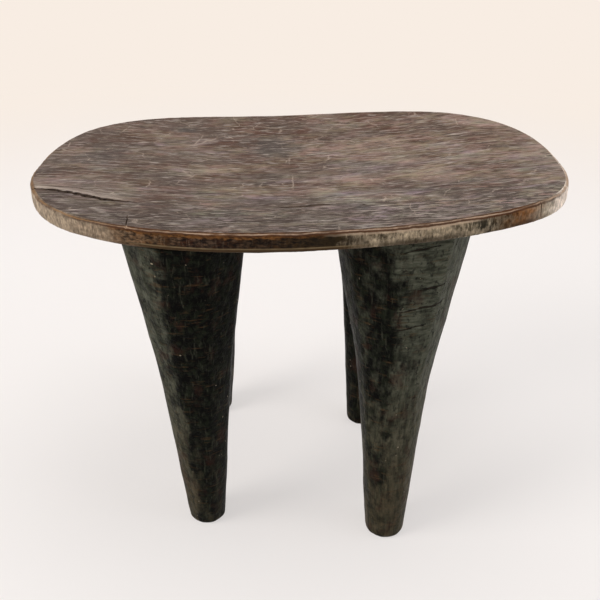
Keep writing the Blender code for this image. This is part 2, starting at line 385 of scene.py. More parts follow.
def read_leg(name):
    solid, points = solid_of(name)
    peak = points[:, 2].max()

    def level_ring(height):
        ring = points[np.abs(points[:, 2] - height) < LEVEL_ROOM][:, :2]
        return (ring.min(axis=0) + ring.max(axis=0)) / 2.0, np.ptp(ring, axis=0).mean() / 2.0

    def radius(centre, height, way):
        start = Vector((centre[0], centre[1], height))
        return solid.ray_cast(start, Vector((way[0], way[1], 0.0)))[3]

    def drop_to(spots):
        return np.array([solid.ray_cast(Vector((x, y, 1.0)), -UP)[0].z for x, y in spots])

    sole, _ = level_ring(0.0)
    head, tenon_end = level_ring(peak)
    tenon = tenon_end + TENON_CHAMFER
    reach = np.array([radius(head, peak - HEAD_READING, way) for way in circle])
    shoulders = drop_to(head + circle * reach[:, None] * SHOULDER_REACH) + SHOULDER_LIFT
    necks = drop_to(head + circle * tenon * NECK_REACH)
    shares = np.linspace(LOWEST_READING, HIGHEST_READING, LEG_READINGS)
    radii = np.array([[radius(sole + (head - sole) * share, share * tall, way)
                       for way, tall in zip(circle, shoulders)] for share in shares])
    radii = smooth_round(radii, LEG_WAVES)
    foot = radii[0] - (radii[1] - radii[0]) * FOOT_TAPER
    crown = radii[-1] + (radii[-1] - radii[-2]) * (1.0 - shares[-1]) / (shares[1] - shares[0])
    shares = np.concatenate([[0.0], shares, [1.0]])
    radii = np.vstack([foot, radii, crown])
    fine = np.array([np.interp(leg_shares, shares, column) for column in radii.T]).T
    rounded = smooth_round(fine, FLATS)
    hewn = FOOT_FLATS + (HEAD_FLATS - FOOT_FLATS) * leg_shares[:, None]
    return sole, head, shoulders, rounded + (fine - rounded) * hewn, tenon, necks, peak


print(LEG_READINGS * LEG_AROUND, "readings to take on each leg")

# %% [markdown]
# ## Dust, soot and painted light on the legs
# Pale dust gathers near the floor, and one upright stripe is sooted dark. The flats that face outwards are
# painted pale as well, partly dust and partly painted light where the side lamps fall on them. Each leg has
# its own level of both, and the front right leg is painted lighter where the right lamp falls on it. How
# pale each point is goes into the mesh as a value, because it follows the flats, which a material cannot
# see.
# The border of each flat strays a little, as a hand-cut edge does.

# %% Leg dust
# Each leg's own level of dust and painted light: the front right leg is painted paler where the right lamp
# falls on it.
LEG_DUST_AND_LIGHT = dict(zip(LEG_NAMES, (-0.14, 0.30, 0.10, -0.14)))
# How pale the outward flats are painted, partly as dust and partly as painted light from the side lamps.
FLAT_DUST_AND_LIGHT = 0.74
FLAT_STRAY = 0.28
STRAY_SIZE = (13, 13, 20)
STRAY_SHIFT = 2.0
OUTWARD_FROM = -0.1
OUTWARD_SPAN = 0.5
EDGE_BLUR = (-2, -1, 0, 1, 2)
FLOOR_DUST = 0.36
FLOOR_DUST_HEIGHT = 0.20
SOOT_TURN = math.radians(251.0)
SOOT_SPREAD = math.radians(13.0)
SOOT_HEIGHT = 0.25
SOOT_REACH = 0.06
SOOT_DEPTH = 0.35


def leg_dust_and_light(name, points, turns, middle_radii, side, shift):
    edge = -np.angle(np.fft.rfft(middle_radii)[FLATS]) / FLATS
    strayed = turns - edge + FLAT_STRAY * ripples(points, STRAY_SIZE, shift + STRAY_SHIFT)
    flat = (np.floor(strayed * FLATS / (2.0 * math.pi)) + 0.5) * 2.0 * math.pi / FLATS + edge
    # Flats facing outwards get dust and painted light where the side lamps fall on them.
    lit_outward = np.clip((np.cos(flat) * side - OUTWARD_FROM) / OUTWARD_SPAN, 0.0, 1.0)
    lit_outward[:-2] = sum(np.roll(lit_outward[:-2], step) for step in EDGE_BLUR) / len(EDGE_BLUR)
    dust_and_light = LEG_DUST_AND_LIGHT[name] + FLAT_DUST_AND_LIGHT * lit_outward
    dust_and_light += FLOOR_DUST * np.clip(1.0 - points[:, 2] / FLOOR_DUST_HEIGHT, 0.0, 1.0)
    soot_aside = ((turns - SOOT_TURN) / SOOT_SPREAD) ** 2
    soot_height = ((points[:, 2] - SOOT_HEIGHT) / SOOT_REACH) ** 4
    return dust_and_light - SOOT_DEPTH * np.exp(-soot_aside - soot_height)


print("dust ready for", len(LEG_DUST_AND_LIGHT), "legs")

# %% [markdown]
# ## Hewing the legs
# Over the smooth cone go small scoops about as wide as an adze blade, broad unevenness, and a foot worn
# blunt. A round tenon on top enters a mortise in the seat, as it does in the solids.

# %% Leg meshes
FOOT_ROUND = 4.5 * MM
FOOT_TUCK = 0.8
LEG_SHIFT = 7.3
LEG_SINK = 0.35
# Each row: the mark, its size along, across and up the leg in mm, its depth in mm.
LEG_MARKS = [(scoops, (17, 17, 36), 0.85), (ripples, (45, 45, 70), 0.80),
             (ripples, (5, 5, 14), 0.12)]


def leg_mesh(name, shift):
    sole, head, shoulders, radii, tenon, necks, peak = read_leg(name)
    heights = leg_shares[:, None] * shoulders[None, :]
    tuck = np.clip(1.0 - heights / FOOT_ROUND, 0.0, 1.0)
    radii = radii - FOOT_ROUND * (1.0 - np.sqrt(1.0 - tuck ** 2)) * FOOT_TUCK
    centres = sole + (head - sole) * leg_shares[:, None]
    x = centres[:, :1] + radii * circle[None, :, 0]
    y = centres[:, 1:] + radii * circle[None, :, 1]
    wall = np.column_stack([x.ravel(), y.ravel(), heights.ravel()])
    level = np.full(LEG_AROUND, peak)
    tenon_rings = [(tenon, necks), (tenon, level - TENON_CHAMFER), (tenon - TENON_CHAMFER, level)]
    rings = [np.column_stack([head + r * circle, tall]) for r, tall in tenon_rings]
    points = np.concatenate([wall] + rings + [[[sole[0], sole[1], 0.0], [head[0], head[1], peak]]])
    ring_count = LEG_ROWS + 1 + len(tenon_rings)
    index = np.arange(ring_count * LEG_AROUND).reshape(ring_count, LEG_AROUND)
    after = np.roll(index, -1, axis=1)
    faces = np.column_stack([index[:-1].ravel(), after[:-1].ravel(), after[1:].ravel(), index[1:].ravel()])
    bottom, peak_point = len(points) - 2, len(points) - 1
    caps = [(bottom, b, a) for a, b in zip(index[0].tolist(), after[0].tolist())]
    caps += [(peak_point, a, b) for a, b in zip(index[-1].tolist(), after[-1].tolist())]
    mesh = mesh_from(name, points, faces.tolist() + caps)
    marks = np.zeros(len(points))
    marks[:len(wall)] = sum(depth * mark(wall, size, shift) for mark, size, depth in LEG_MARKS) - LEG_SINK
    marks[:LEG_AROUND] = 0.0
    marks[LEG_ROWS * LEG_AROUND:] = 0.0
    carve(mesh, marks * MM)
    turns = np.concatenate([np.tile(leg_turns, ring_count), [0.0, 0.0]])
    # The kept value holds dust and painted light: paler outward flats and a paler front right leg.
    dust_and_light = leg_dust_and_light(name, points, turns, radii[LEG_ROWS // 2], np.sign(head[0]), shift)
    keep_values(mesh, "dust_and_light", dust_and_light)
    return mesh, (head, tenon, peak)


legs = {}
joints = []
for number, name in enumerate(LEG_NAMES):
    mesh, joint = leg_mesh(name, LEG_SHIFT * number)
    legs[name] = put(name + "_carved", mesh)
    joints.append(joint)
    print(name, "has", len(mesh.polygons), "faces, tenon", round(2.0 * joint[1] / MM, 1), "mm across")

# %% [markdown]
# ## Blades for cracks and pegs for mortises
# A bump map could draw a drying crack, but a real groove keeps its depth from every side, so each crack is
# cut with a thin blade: a tube of V-shaped sections that taper at both ends. One Boolean takes out all the
# blades, and another the pegs that leave the round mortises.

# %% Cutters
BLADE_LIFT = 2.0 * MM
BLADE_STEPS = 24
END_OPENING = 0.08
OPENING_CURVE = 0.7
TOP_SPREAD = 1.6
BOTTOM_SPREAD = 0.5
WANDER = 0.7 * MM
WANDER_LENGTH = 7.0 * MM
PEG_SIDES = 48


def tube(rings):
    count = len(rings[0])
    points = [corner for ring in rings for corner in ring]
    faces = [(i + j, i + (j + 1) % count, i + count + (j + 1) % count, i + count + j)
             for i in range(0, len(points) - count, count) for j in range(count)]
    faces += [tuple(range(count - 1, -1, -1)), tuple(range(len(points) - count, len(points)))]
    return points, faces


def blade(piece, path, width, depth, lean):
    path = np.array(path) * MM
    strides = np.concatenate([[0.0], np.cumsum(np.linalg.norm(np.diff(path, axis=0), axis=1))])
    shares = np.linspace(0.0, 1.0, BLADE_STEPS + 1)
    places = np.column_stack([np.interp(shares * strides[-1], strides, path[:, axis]) for axis in range(3)])
    found = [piece.closest_point_on_mesh(Vector(place)) for place in places]
    spots = [spot for _, spot, _, _ in found]
    rings = []
    for step, (_, spot, normal, _) in enumerate(found):
        ahead = spots[min(step + 1, BLADE_STEPS)] - spots[max(step - 1, 0)]
        aside = normal.cross(ahead).normalized()
        swell = math.sin(math.pi * shares[step] ** lean) ** OPENING_CURVE
        opened = END_OPENING + (1.0 - END_OPENING) * swell
        spot = spot + aside * WANDER * noise.noise(spot / WANDER_LENGTH)
        half = aside * width * MM * opened / 2.0
        bottom = spot - normal * depth * MM * opened
        top = spot + normal * BLADE_LIFT
        rings.append([top + half * TOP_SPREAD, top - half * TOP_SPREAD,
                      bottom - half * BOTTOM_SPREAD, bottom + half * BOTTOM_SPREAD])
    return tube(rings)


def peg(centre, radius, low, high):
    turns = [2.0 * math.pi * step / PEG_SIDES for step in range(PEG_SIDES)]
    ring = [(centre[0] + radius * math.cos(turn), centre[1] + radius * math.sin(turn)) for turn in turns]
    return tube([[Vector((x, y, height)) for x, y in ring] for height in (low, high)])


def cut(piece, cutters, material):
    points, faces = [], []
    for some_points, some_faces in cutters:
        faces += [tuple(len(points) + corner for corner in face) for face in some_faces]
        points += some_points
    mesh = bpy.data.meshes.new("cutters")
    mesh.from_pydata(points, [], faces)
    mesh.materials.append(material)
    tool = put("cutters", mesh)
    boolean = piece.modifiers.new("cut", "BOOLEAN")
    boolean.object = tool
    boolean.operation = "DIFFERENCE"
    boolean.solver = "MANIFOLD"
    boolean.material_mode = "TRANSFER"
    shaped = piece.evaluated_get(bpy.context.evaluated_depsgraph_get())
    piece_mesh = bpy.data.meshes.new_from_object(shaped)
    piece.modifiers.clear()
    piece.data = piece_mesh
    bpy.data.objects.remove(tool)
    print(piece.name, "cut", len(cutters), "times, now", len(piece_mesh.polygons), "faces")


print("blades have", BLADE_STEPS, "steps, pegs", PEG_SIDES, "sides")

# %% [markdown]
# ## Where the cracks run
# An old split runs in from one tip of the seat with a finer one beside it, short checks lie on the top and
# the rim, and level checks cross one leg along the log's grain. Each row is a path in millimetres, the
# blade's width and depth, and how far its widest place leans towards one end.

# %% Crack paths
SEAT_CHECKS = [
    ([(x, y - 1.6, 348.5) for x, y in CRACK_PATH], 2.6, 2.4, 1.25),
    ([(-238, -37, 347.6), (-214, -42, 348), (-195.5, -45, 348), (-174, -55.5, 348)],
     1.3, 1.2, 1),
    ([(-202, -44.3, 348), (-195, -45.4, 348)], 1.5, 1.6, 1),
    ([(-138.4, -113, 350.3), (-137, -122.5, 351.2), (-135.5, -136, 352.8), (-134.5, -143.5, 352.5),
      (-134.4, -144.8, 351.8)], 1, 2.2, 1),
    ([(-17, -90.2, 347.2), (5, -88.2, 347.6), (20.5, -85.6, 348.1), (40, -85.2, 348.9)],
     4.6, 1.8, 1),
    ([(92.3, -112, 355.7), (95.6, -112.8, 355.7)], 1.8, 1.5, 1),
    ([(57.9, -91.4, 350.9), (61, -92.2, 350.9)], 1.6, 1.5, 1),
    ([(198.5, -124, 365.7), (200.5, -126.3, 362.5), (200.9, -126.3, 358.7), (200.6, -126, 354)],
     0.7, 1.4, 1),
]
LEG_CHECKS = [
    ([(101.5, -147.8, 296.5), (111.8, -144.9, 298), (128.1, -137.7, 301)], 0.9, 2, 1),
    ([(86, -146.5, 275.5), (105.1, -144.4, 278.4), (128.5, -132.5, 282)], 0.9, 2, 1),
    ([(84, -142.9, 255.5), (98.2, -143.7, 258.5), (112, -139.9, 261.5)], 0.8, 1.8, 1),
    ([(87.3, -153.6, 334.5), (99.1, -153.3, 336.5), (117, -148.8, 339)], 0.8, 1.6, 1),
    ([(60, -112, 205), (63.1, -121.6, 207), (68.5, -128.2, 208.5)], 0.8, 1.4, 1),
]
print(len(SEAT_CHECKS), "cracks in the seat and", len(LEG_CHECKS), "in one leg")

# %% [markdown]
# ## Colours and nodes
# Colours are sRGB hex values, turned to linear light as they go into a node, and a plain number makes a
# grey. One small function adds a node, sets it and links it. The word after a node's kind picks its
# operation, and its inputs follow in the node's own order: a map range takes the value, from, to, low and
# high. Each finish gets that function bound to its own tree, so a material below reads as a list of what
# the eye sees.

# %% Colour and node helpers
def linear(colour):
    if not isinstance(colour, str):
        return (colour, colour, colour, 1.0)
    parts = [int(colour[i:i + 2], 16) / 255.0 for i in (1, 3, 5)]
    return tuple(p / 12.92 if p <= 0.04045 else ((p + 0.055) / 1.055) ** 2.4 for p in parts) + (1.0,)


MODES = {"Math": "operation", "VectorMath": "operation", "Mix": "data_type",
         "MapRange": "interpolation_type", "TexVoronoi": "feature"}
MIX_SOCKETS = {"RGBA": (0, 6, 7), "FLOAT": (0, 2, 3)}


def add_node(tree, kind, *inputs, links=None, stops=(), output=None, **settings):
    kind, _, mode = kind.partition(" ")
    sockets = dict(zip(MIX_SOCKETS.get(mode, range(len(inputs))), inputs))
    sockets.update(links or {})
    node = tree.nodes.new("ShaderNode" + kind)
    if mode:
        settings[MODES[kind]] = mode
    for name, value in settings.items():
        setattr(node, name, value)
    for number, (place, colour) in enumerate(stops):
        ramp = node.color_ramp.elements
        element = ramp[number] if number < 2 else ramp.new(place)
        element.position = place
        element.color = linear(colour)
    for socket, value in sockets.items():
        if isinstance(value, bpy.types.NodeSocket):
            tree.links.new(value, node.inputs[socket])
        else:
            node.inputs[socket].default_value = linear(value) if isinstance(value, str) else value
    if output:
        return node.outputs[output]
    return next((socket for socket in node.outputs if socket.enabled), None)


def new_finish(name):
    material = bpy.data.materials.new(name)
    material.use_nodes = True
    material.node_tree.nodes.clear()
    return material, partial(add_node, material.node_tree)


WOOD_IOR = 1.5


def wood_surface(add, colour, shine, height, relief, specular):
    mask, rough, smooth = shine
    roughness = add("MapRange", mask, 0.0, 1.0, rough, smooth)
    bump = add("Bump", links={"Strength": 1.0, "Distance": relief * MM, "Height": height})
    shader = add("BsdfPrincipled", links={"Base Color": colour, "Roughness": roughness, "Normal": bump,
                                          "IOR": WOOD_IOR, "Specular IOR Level": specular})
    add("OutputMaterial", links={"Surface": shader})


print("colour and node helpers ready")

# %% [markdown]
# ## Grain
# Grain follows the log but never runs quite straight, so the place that a pattern is drawn at is swayed by
# a long and a short bend. A streak pattern is noise stretched to a real size in millimetres along, across
# and through the board, cut off between two levels so that it covers as much as the real marks do.

# %% Grain helpers
# Each row: the length of a bend in mm, and how far it sways the grain along, across and through in mm.
GRAIN_BENDS = [(110, (0, 12, 6)), (26, (0, 3.2, 2))]
NOISE_ROUGHNESS = 0.6


def grain_place(add):
    place = add("TexCoord", output="Object")
    grain = place
    for length, sway in GRAIN_BENDS:
        scale = 1.0 / (length * MM)
        bend = add("TexNoise", links={"Vector": place, "Scale": scale, "Detail": 1.0}, output="Color")
        bend = add("VectorMath SUBTRACT", bend, (0.5, 0.5, 0.5))
        sway = tuple(part * MM for part in sway)
        grain = add("VectorMath MULTIPLY_ADD", bend, sway, grain)
    return place, grain


def streaks(add, place, size, detail, low, high, most, shift):
    scale = tuple(1.0 / (part * MM) for part in size)
    moved = (shift, shift, shift)
    spread = add("VectorMath MULTIPLY_ADD", place, scale, moved)
    wave = add("TexNoise", links={"Vector": spread, "Scale": 1.0, "Detail": detail,
                                  "Roughness": NOISE_ROUGHNESS})
    return add("MapRange SMOOTHSTEP", wave, low, high, 0.0, most)


def line_at(add, value, middle, edge):
    away = add("Math SUBTRACT", value, middle)
    return add("MapRange", add("Math ABSOLUTE", away), *edge)


print("grain bends over", [length for length, _ in GRAIN_BENDS], "mm")

# %% [markdown]
# ## The rubbed arris
# Hands slide along the upper edge. They leave a dark, blotted line on each side of it and rub the bend
# itself pale, most of all at the front and on the right, and wider at the tips. The line wavers as a worn
# edge does. Top and rim share this wear, so it is written once.

# %% Arris wear
RUBBED = "#A58C76"
RUBBED_BROWN = "#80603F"
HAND_STAIN = "#3A261A"
WAVER = 0.8
HANDLED_RIGHT = 0.4
# Each fade: the value that it starts and ends at, then what it gives there, or else 0 and 1.
STAIN_EDGE = (2.4, 1.2, 0, 0.66)
RUB_EDGE = (0.8, 0.3)
TIP_NARROWING = (0.205, 0.235, 1, 0.35)
HANDLED_FRONT = (0.10, -0.04, 0.45, 0.95)
PALE_FROM_LEFT = (-0.17, -0.125)
BLOT_SHARE = (0, 1, 0.3, 1.1)
PATCH_SHARE = (0, 1, 0.15, 0.9)
# Each row: size in mm, detail, the two levels that the noise is cut between, strength, shift.
WAVER_LINE = ((27, 27, 27), 4, 0.25, 0.75, 2 * WAVER, 67)
STAIN_BLOTS = ((18, 18, 18), 6, 0.38, 0.58, 1, 13)
RUB_PATCHES = ((18, 18, 18), 6, 0.34, 0.60, 1, 3)


def wavering_past(add, place):
    past = add("Attribute", output="Fac", attribute_name="past_arris")
    past = add("Math ADD", past, streaks(add, place, *WAVER_LINE))
    return add("Math SUBTRACT", past, WAVER)


def arris_wear(add, place, past, colour):
    away = add("Math ABSOLUTE", past)
    side = add("SeparateXYZ", place).node.outputs
    stain = add("MapRange", away, *STAIN_EDGE)
    blotted = add("MapRange", streaks(add, place, *STAIN_BLOTS), *BLOT_SHARE)
    stain = add("Math MULTIPLY", stain, blotted)
    handled = add("MapRange", side["Y"], *HANDLED_FRONT)
    handled = add("Math MULTIPLY_ADD", side["X"], HANDLED_RIGHT, handled, use_clamp=True)
    uneven = add("MapRange", streaks(add, place, *RUB_PATCHES), *PATCH_SHARE)
    tip = add("Math ABSOLUTE", side["X"])
    narrow = add("MapRange", tip, *TIP_NARROWING)
    rubbed = add("Math MULTIPLY", away, narrow)
    rubbed = add("MapRange", rubbed, *RUB_EDGE)
    for share in (uneven, handled):
        rubbed = add("Math MULTIPLY", rubbed, share)
    handled_side = add("MapRange", side["X"], *PALE_FROM_LEFT)
    pale = add("Mix RGBA", handled_side, RUBBED_BROWN, RUBBED)
    for mask, paint in ((stain, HAND_STAIN), (rubbed, pale)):
        colour = add("Mix RGBA", mask, colour, paint)
    return colour


print("arris wear ready,", 2.0 * STAIN_EDGE[0], "mm wide")

# %% [markdown]
# ## Weathered, adzed hardwood: the top
# The top is a dense brown hardwood, adzed along the grain, then greyed by hands and weather. It shows
# streaks 3 to 7 mm wide, dark grooves, pale raised fibres, and grey, green and brown patches as wide as a
# hand. One table of patterns runs with the grain, the next lies over it, and fades from front to rear say
# where a pattern is strongest.

# %% Top: patterns
# Each row: size along, across and through the board in mm, detail, the two levels that the noise is cut
# between, strength, shift. The real grooves and fibres are 0.2 to 1 mm wide, which is finer than a pixel,
# so they are drawn 2 to 4 mm wide, as coarse as they need to be to show.
TOP_STREAKS = {
    "broad": ((48, 6, 12), 3, 0.38, 0.62, 0.26, 0),
    "fine": ((12, 3.1, 6), 5, 0.38, 0.62, 0.52, 11),
    "blotch": ((40, 18, 20), 4, 0.36, 0.60, 0.20, 51),
    "shade": ((85, 42, 80), 2, 0.40, 0.60, 0.50, 48.8),
    "greenish": ((46, 18, 40), 4, 0.40, 0.60, 1, 37),
    "brownish": ((50, 15, 40), 4, 0.38, 0.62, 0.75, 83),
    "stained": ((62, 30, 60), 4, 0.42, 0.64, 0.60, 71),
    "grooves": ((13, 2.8, 5), 4, 0.55, 0.65, 1, 21),
    "dashes": ((11, 4.2, 6), 4, 0.485, 0.55, 1, 43),
    "lines": ((75, 2.6, 6), 3, 0.60, 0.67, 0.75, 57),
    "fibres": ((16, 1.9, 5), 5, 0.53, 0.67, 1, 33),
}
TOP_PATCHES = {
    "handled": ((110, 50, 90), 3, 0.40, 0.60, 0.55, 5),
    "tinted": ((24, 15, 30), 3, 0.38, 0.62, 1, 25),
    "frayed": ((12, 7, 9), 4, 0.30, 0.70, 0.90, 29),
    "broken": ((40, 18, 20), 5, 0.50, 0.60, 1, 91),
}
# Each row: where the fade starts and ends in metres from the middle, and its value at each of them.
TOP_FADES = {
    "front": (-0.06, -0.13, 0, 1),
    "near_front": (-0.04, -0.11, 0, 1),
    "rear": (0.02, 0.14, 0, 0.16),
    "sunny": (-0.12, 0.13, -0.35, 0.60),
}

top_wood, add = new_finish("weathered_adzed_hardwood")
place, grain = grain_place(add)
spot = add("SeparateXYZ", place).node.outputs
top = {name: streaks(add, grain, *row) for name, row in TOP_STREAKS.items()}
top.update({name: streaks(add, place, *row) for name, row in TOP_PATCHES.items()})
top.update({name: add("MapRange", spot["Y"], *row) for name, row in TOP_FADES.items()})
print(len(top), "patterns on the top")

# %% [markdown]
# ## Tone and hue of the top
# Streaks, blotches and wide shade add up to one tone from dark to light, which rises to the right and
# falls at the rear. The tone picks a colour from a cool and a warm scale, patches decide how warm each
# place is, and a faint green or mauve tint breaks up the brown, as age does.

# %% Top: tone and hue
COOL_DARK, COOL_MAUVE, COOL_GREEN = "#2F2119", "#8A7F82", "#868272"
WARM_DARK, WARM_LIGHT = "#432817", "#8B7868"
TINT_GREEN, TINT_MAUVE = "#EFF6E9", "#FEF1FB"
TONE_DROP = 0.31
TONE_RISE = 0.68
WARM_RISE = 0.6

tone = top["broad"]
for part in ("fine", "blotch", "shade"):
    tone = add("Math ADD", tone, top[part])
tone = add("Math SUBTRACT", tone, TONE_DROP)
tone = add("Math MULTIPLY_ADD", spot["X"], TONE_RISE, tone)
tone = add("Math SUBTRACT", tone, top["rear"], use_clamp=True)
warmth = top["handled"]
for part in ("sunny", "brownish"):
    warmth = add("Math ADD", warmth, top[part])
warmth = add("Math MULTIPLY_ADD", spot["X"], WARM_RISE, warmth, use_clamp=True)
cool = add("Mix RGBA", top["greenish"], COOL_MAUVE, COOL_GREEN)
cool = add("Mix RGBA", tone, COOL_DARK, cool)
warm = add("Mix RGBA", tone, WARM_DARK, WARM_LIGHT)
colour = add("Mix RGBA", warmth, cool, warm)
tint = add("Mix RGBA", top["tinted"], TINT_GREEN, TINT_MAUVE)
colour = add("Mix RGBA", 1.0, colour, tint, blend_type="MULTIPLY")
print("base colour of the top mixed")

# %% [markdown]
# ## Stains, grooves and fibres
# Use has darkened the front and the left, and five dark stains with frayed edges are placed one by one,
# where the real ones lie. Grooves, dashes and long lines are dark, and the raised fibres between them are
# pale.
# The layers are collected here and painted in one loop below.

# %% Top: stains and grooves
STAIN = "#473A33"
BLOT = "#302C2B"
GROOVE = "#2B1B12"
FIBRE = "#A99E95"
FRONT_STAIN = 0.28
LEFT_STAIN = -1.1
REAR_MARKS = 0.72
BLOT_EDGE = (1.9, 0.7)
# Each row: middle of a stain in mm, its half length and half width in mm, its strength.
BLOTS = [((-20, 75), (27, 30), 0.65), ((57, -98), (7, 9), 0.9),
         ((-57, -103), (14, 14), 0.6), ((-192, 46), (24, 26), 0.6),
         ((-113, 125), (14, 8), 0.7)]

stained = add("Math MULTIPLY_ADD", top["front"], FRONT_STAIN, top["stained"])
stained = add("Math MULTIPLY_ADD", spot["X"], LEFT_STAIN, stained, use_clamp=True)
layers = [(stained, STAIN)]
for (x, y), (half_x, half_y), strength in BLOTS:
    scale = (1.0 / (half_x * MM), 1.0 / (half_y * MM), 0.0)
    near = add("VectorMath SUBTRACT", place, (x * MM, y * MM, 0.0))
    near = add("VectorMath MULTIPLY", near, scale)
    near = add("VectorMath LENGTH", near, output="Value")
    near = add("Math ADD", near, top["frayed"])
    near = add("MapRange SMOOTHSTEP", near, *BLOT_EDGE, 0.0, strength)
    layers.append((near, BLOT))
frontal = add("MapRange", top["front"], 0.0, 1.0, REAR_MARKS, 1.0)
for name, share in (("grooves", frontal), ("fibres", frontal), ("dashes", top["near_front"])):
    top[name] = add("Math MULTIPLY", top[name], share)
layers += [(top[name], GROOVE) for name in ("grooves", "dashes", "lines")] + [(top["fibres"], FIBRE)]
print(len(layers), "layers of stain, groove and fibre")

# %% [markdown]
# ## Scratches and the finished top
# Fine pale scratches wander across the grain. They are the borders of cells that noise has curled, broken
# up by patches. The real ones are about 0.3 mm wide and are drawn twice as wide to show. One longer knife
# scratch crosses the middle, and the lifted lip of the split gets a painted highlight. Then each layer is
# painted over the last, the arris is worn, and tone, fibres and grooves make the bump.

# %% Top: scratches and surface
SCRATCH = "#B5A597"
# Colour of the painted highlight on the lifted lip beside the split.
LIP_HIGHLIGHT = "#AEA094"
SCRATCH_CELL = (46, 30, 80)
SCRATCH_CURL = 12.0 * MM
SCRATCH_SWAY = (14.0 * MM, 14.0 * MM, 0.0)
SCRATCH_EDGE = (0.020, 0, 0, 0.45)
KNIFE_MIDDLE, KNIFE_SWAY = -20.0 * MM, 3.0 * MM
KNIFE_EDGE, KNIFE_ENDS = (0.9 * MM, 0, 0, 0.55), (24.0 * MM, 12.0 * MM)
LIP_LEAST = 0.55

curl = add("TexNoise", links={"Vector": place, "Scale": 1.0 / SCRATCH_CURL, "Detail": 3.0}, output="Color")
curl = add("VectorMath MULTIPLY_ADD", curl, SCRATCH_SWAY, place)
scale = tuple(1.0 / (part * MM) for part in SCRATCH_CELL)
cells = add("VectorMath MULTIPLY", curl, scale)
hairline = add("TexVoronoi DISTANCE_TO_EDGE", links={"Vector": cells, "Scale": 1.0})
hairline = add("MapRange", hairline, *SCRATCH_EDGE)
hairline = add("Math MULTIPLY", hairline, top["broken"])
knife = add("Math MULTIPLY_ADD", top["fine"], KNIFE_SWAY, spot["X"])
knife = line_at(add, knife, 0.0, KNIFE_EDGE)
knife = add("Math MULTIPLY", knife, line_at(add, spot["Y"], KNIFE_MIDDLE, KNIFE_ENDS))
# Painted highlight along the lifted lip beside the split, broken up by the fine streaks.
lip_highlight = add("Attribute", output="Fac", attribute_name="lip")
fine_most = TOP_STREAKS["fine"][4]
streaky = add("MapRange", top["fine"], 0.0, fine_most, LIP_LEAST, 1.0)
lip_highlight = add("Math MULTIPLY", lip_highlight, streaky)
for mask, paint in layers + [(hairline, SCRATCH), (knife, SCRATCH), (lip_highlight, LIP_HIGHLIGHT)]:
    colour = add("Mix RGBA", mask, colour, paint)
colour = arris_wear(add, place, wavering_past(add, place), colour)
height = add("Math ADD", tone, top["fibres"])
height = add("Math SUBTRACT", height, top["grooves"])
wood_surface(add, colour, (tone, 0.64, 0.50), height, relief=0.5, specular=0.28)
print("made", top_wood.name)

# %% [markdown]
# ## Rasped hardwood: the rim
# The rim cuts across the log, so it shows end fibres as upright ticks. The ends are grey and pale, partly
# their own colour and partly painted light where the rim turns towards the side lamps. The middle of the
# front is a red-black, partly darkened by hands and partly painted shade where it faces away from the
# lamps; right of it a rasp has laid the fibres open, and beyond that the wood is dark, then orange-brown. A
# ramp over the stool's length, with a ragged border, gives these zones, and further ramps say how strong
# each mark is along the rim.

# %% Rim: zones and patterns
# Partly the rim's own colour and partly painted light: the ends lighter where they turn towards the side
# lamps, and the middle of the front darker where it faces away from them.
RIM_ZONES_AND_LIGHT = [(0.09, "#8F806F"), (0.185, "#736353"), (0.215, "#5A4634"), (0.27, "#46301B"),
             (0.33, "#241006"), (0.57, "#211808"), (0.60, "#54493A"), (0.635, "#5E5341"),
             (0.665, "#988973"), (0.74, "#82745E"), (0.80, "#393529"), (0.84, "#48331D"),
             (0.875, "#784E28"), (0.92, "#9A8F7E"), (0.95, "#DCCEC1")]
RIM_REACH = {
    "band": [(0.19, 0), (0.23, 1), (0.50, 1), (0.58, 0)],
    # The dark line under the arris is partly stain and partly painted shade beneath the worn edge.
    "stain_and_shade_line": [(0.16, 0.2), (0.20, 0.9), (0.30, 0.4), (0.52, 0.5), (0.57, 0.9), (0.90, 0.85), (0.94, 0)],
    "second": [(0.54, 0), (0.58, 0.45), (0.70, 0.9), (0.77, 0.9), (0.81, 0)],
    "rasp": [(0.18, 0.35), (0.21, 0.1), (0.57, 0), (0.63, 1), (0.76, 0.9), (0.83, 0.3), (0.90, 0.1)],
    "low": [(0.21, 0), (0.26, 0.9), (0.57, 0.9), (0.62, 0.2), (0.72, 0)],
    # Darker towards the bottom of the rim, in two places along it.
    "darker_low": [(0.62, 0), (0.66, 0.75), (0.74, 0.75), (0.79, 0), (0.83, 0), (0.86, 0.7),
               (0.89, 0.7), (0.92, 0)],
}
# Each row as for the top. The real end fibres are about 0.3 mm wide, which is finer than a pixel, so the
# ticks and fibres are drawn about 2 mm wide, as coarse as they need to be to show.
RIM_PATTERNS = {
    "ragged": ((12, 12, 6), 3, 0, 1, 0.04, 2),
    "ticks": ((1.7, 1.7, 9), 3, 0.50, 0.60, 0.70, 8),
    "pale_ticks": ((1.7, 1.7, 9), 3, 0.52, 0.59, 0.85, 17),
    "rasped": ((8, 8, 7), 4, 0.45, 0.60, 0.65, 29),
    "patchy": ((11, 11, 9), 5, 0.30, 0.70, 1, 41),
    "upright": ((2.2, 2.2, 4), 4, 0, 1, 1, 35),
    "level": ((4.5, 4.5, 1.7), 5, 0.34, 0.66, 1, 45),
    "mottled": ((11, 11, 7), 4, 0.30, 0.70, 1, 55),
}
RAGGED_HALF = 0.02

